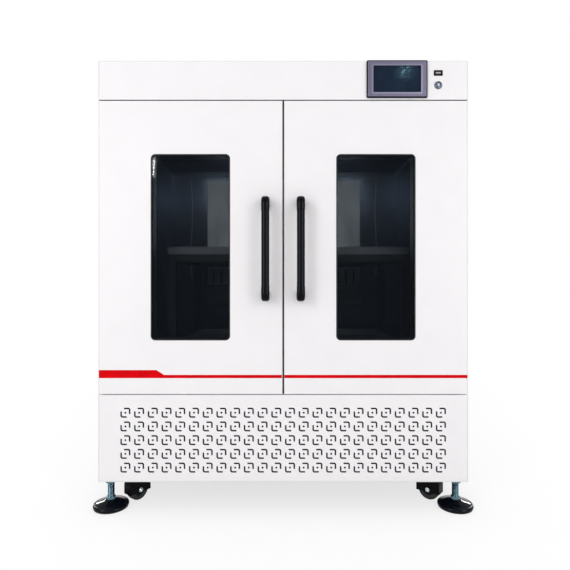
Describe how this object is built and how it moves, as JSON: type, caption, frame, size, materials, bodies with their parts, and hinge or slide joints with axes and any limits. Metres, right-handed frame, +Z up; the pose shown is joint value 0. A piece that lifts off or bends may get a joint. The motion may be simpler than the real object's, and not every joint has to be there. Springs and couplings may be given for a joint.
{
  "type": "shaking incubator",
  "caption": "Floor-standing shaking incubator: a white sheet-metal cabinet with two windowed doors, vented base, touch screen, levelling feet and casters, and shaken trays inside.",
  "frame": {"origin": "on the floor, in the middle of the box round the whole object", "axes": "+Z up, the doors face -Y, +X to the viewer's right"},
  "size_m": [1.252, 0.888, 1.462],
  "materials": {
    "body_paint": "white powder coat, fine texture",
    "frame_paint": "black paint",
    "deck_paint": "black paint",
    "chamber_steel": "brushed stainless",
    "foam": "rigid foam",
    "heater_metal": "heat-tinted tube",
    "motor_paint": "black paint",
    "fan_aluminium": "cast",
    "bezel_metal": "brushed, grey-violet",
    "display": "dark glossy display",
    "socket_plastic": "black",
    "ring_chrome": "polished",
    "button_metal": "satin",
    "inlet_plastic": "black",
    "hinge_steel": "zinc plated",
    "drive_steel": "turned",
    "drive_iron": "grey paint",
    "pulley_metal": "turned",
    "belt_rubber": "matt",
    "platform_metal": "mill finish",
    "tray_steel": "brushed stainless",
    "compressor_paint": "black paint",
    "window_glass": "dark tinted",
    "seal_rubber": "black",
    "gasket_rubber": "pale grey",
    "handle_plastic": "black gloss",
    "foot_black": "black gloss pad, zinc stud",
    "nut_zinc": "zinc plated",
    "caster_metal": "black",
    "wheel_plastic": "black",
    "brake_plastic": "black"
  },
  "bodies": {
    "cabinet": {"base_frame": "frame_paint", "drive_deck": "deck_paint", "outer_wrap": "body_paint", "rear_panel": "body_paint", "power_inlet": "inlet_plastic", "header_panel": "body_paint", "base_grille": "body_paint", "front_frame": "body_paint", "inner_liner": "chamber_steel", "insulation_foam": "foam", "duct_cover": "chamber_steel", "heater_coil": "heater_metal", "fan_motors": "motor_paint", "screen_housing": "bezel_metal", "screen_glass": "display", "usb_port": "socket_plastic", "button_ring": "ring_chrome", "hinge_brackets": "hinge_steel", "crank_housings": "drive_iron", "drive_motor": "motor_paint", "drive_belt": "belt_rubber", "compressor": "compressor_paint", "leveling_nuts": "nut_zinc", "caster_plates": "caster_metal"},
    "left_door": {"left_door_skin": "body_paint", "left_door_liner": "chamber_steel", "left_door_foam": "foam", "left_window_seal": "seal_rubber", "left_window_glass": "window_glass", "left_door_gasket": "gasket_rubber", "left_door_handle": "handle_plastic"},
    "right_door": {"right_door_skin": "body_paint", "right_door_liner": "chamber_steel", "right_door_foam": "foam", "right_window_seal": "seal_rubber", "right_window_glass": "window_glass", "right_door_gasket": "gasket_rubber", "right_door_handle": "handle_plastic"},
    "main_crank": {"main_crank": "drive_steel"},
    "platform": {"platform_frame": "platform_metal", "lower_tray": "tray_steel", "upper_tray": "tray_steel"},
    "idler_left": {"idler_crank_left": "drive_steel"},
    "idler_right": {"idler_crank_right": "drive_steel"},
    "motor_pulley": {"motor_pulley": "pulley_metal"},
    "fan_left": {"circulation_fan_left": "fan_aluminium"},
    "fan_right": {"circulation_fan_right": "fan_aluminium"},
    "power_button": {"power_button": "button_metal"},
    "foot_front_left": {"foot_front_left": "foot_black"},
    "wheel_front_left": {"caster_wheel_front_left": "wheel_plastic"},
    "foot_back_left": {"foot_back_left": "foot_black"},
    "wheel_back_left": {"caster_wheel_back_left": "wheel_plastic"},
    "fork_left": {"caster_fork_left": "caster_metal"},
    "brake_left": {"caster_brake_left": "brake_plastic"},
    "foot_front_right": {"foot_front_right": "foot_black"},
    "wheel_front_right": {"caster_wheel_front_right": "wheel_plastic"},
    "foot_back_right": {"foot_back_right": "foot_black"},
    "wheel_back_right": {"caster_wheel_back_right": "wheel_plastic"},
    "fork_right": {"caster_fork_right": "caster_metal"},
    "brake_right": {"caster_brake_right": "brake_plastic"}
  },
  "joints": [
    {"name": "left_door_hinge", "type": "hinge", "parent": "cabinet", "child": "left_door", "pos_m": [-0.58, -0.362, 0.3795], "axis": [0, 0, -1], "range_deg": [0, 110]},
    {"name": "right_door_hinge", "type": "hinge", "parent": "cabinet", "child": "right_door", "pos_m": [0.58, -0.362, 0.3795], "axis": [0, 0, 1], "range_deg": [0, 110]},
    {"name": "crank_turn", "type": "hinge", "parent": "cabinet", "child": "main_crank", "pos_m": [0, 0.116, 0.366], "axis": [0, 0, 1], "continuous": true},
    {"name": "platform_turn", "type": "hinge", "parent": "main_crank", "child": "platform", "pos_m": [0.025, 0.116, 0.4523], "axis": [0, 0, 1], "continuous": true},
    {"name": "idler_left_turn", "type": "hinge", "parent": "cabinet", "child": "idler_left", "pos_m": [-0.33, -0.144, 0.366], "axis": [0, 0, 1], "continuous": true},
    {"name": "idler_right_turn", "type": "hinge", "parent": "cabinet", "child": "idler_right", "pos_m": [0.33, -0.144, 0.366], "axis": [0, 0, 1], "continuous": true},
    {"name": "motor_turn", "type": "hinge", "parent": "cabinet", "child": "motor_pulley", "pos_m": [-0.23, 0.116, 0.2], "axis": [0, 0, 1], "continuous": true},
    {"name": "button_press", "type": "slide", "parent": "cabinet", "child": "power_button", "axis": [0, 1, 0], "range_m": [0, 0.002], "stiffness_N_per_m": 400},
    {"name": "fan_left_spin", "type": "hinge", "parent": "cabinet", "child": "fan_left", "pos_m": [-0.17, 0.32, 1.09], "axis": [0, 1, 0], "continuous": true},
    {"name": "fork_left_swivel", "type": "hinge", "parent": "cabinet", "child": "fork_left", "pos_m": [-0.486, -0.287, 0.091], "axis": [0, 0, 1], "continuous": true},
    {"name": "wheel_front_left_roll", "type": "hinge", "parent": "fork_left", "child": "wheel_front_left", "pos_m": [-0.49708, -0.30118, 0.039], "axis": [-0.788, 0.6157, 0], "continuous": true},
    {"name": "brake_left_lever", "type": "hinge", "parent": "fork_left", "child": "brake_left", "pos_m": [-0.4695, -0.26588, 0.0705], "axis": [-0.788, 0.6157, 0], "range_deg": [0, 15]},
    {"name": "wheel_back_left_roll", "type": "hinge", "parent": "cabinet", "child": "wheel_back_left", "pos_m": [-0.486, 0.341, 0.039], "axis": [1, 0, 0], "continuous": true},
    {"name": "foot_front_left_height", "type": "slide", "parent": "cabinet", "child": "foot_front_left", "axis": [0, 0, -1], "range_m": [-0.008, 0.015]},
    {"name": "foot_back_left_height", "type": "slide", "parent": "cabinet", "child": "foot_back_left", "axis": [0, 0, -1], "range_m": [-0.008, 0.015]},
    {"name": "fan_right_spin", "type": "hinge", "parent": "cabinet", "child": "fan_right", "pos_m": [0.17, 0.32, 1.09], "axis": [0, 1, 0], "continuous": true},
    {"name": "fork_right_swivel", "type": "hinge", "parent": "cabinet", "child": "fork_right", "pos_m": [0.486, -0.287, 0.091], "axis": [0, 0, 1], "continuous": true},
    {"name": "wheel_front_right_roll", "type": "hinge", "parent": "fork_right", "child": "wheel_front_right", "pos_m": [0.50018, -0.29808, 0.039], "axis": [-0.6157, -0.788, 0], "continuous": true},
    {"name": "brake_right_lever", "type": "hinge", "parent": "fork_right", "child": "brake_right", "pos_m": [0.46488, -0.2705, 0.0705], "axis": [-0.6157, -0.788, 0], "range_deg": [0, 15]},
    {"name": "wheel_back_right_roll", "type": "hinge", "parent": "cabinet", "child": "wheel_back_right", "pos_m": [0.486, 0.341, 0.039], "axis": [1, 0, 0], "continuous": true},
    {"name": "foot_front_right_height", "type": "slide", "parent": "cabinet", "child": "foot_front_right", "axis": [0, 0, -1], "range_m": [-0.008, 0.015]},
    {"name": "foot_back_right_height", "type": "slide", "parent": "cabinet", "child": "foot_back_right", "axis": [0, 0, -1], "range_m": [-0.008, 0.015]}
  ],
  "couplings": [
    {"joint": "platform_turn", "follows": "crank_turn", "ratio": -1},
    {"joint": "idler_left_turn", "follows": "crank_turn", "ratio": 1},
    {"joint": "idler_right_turn", "follows": "crank_turn", "ratio": 1},
    {"joint": "motor_turn", "follows": "crank_turn", "ratio": 2.5714}
  ]
}
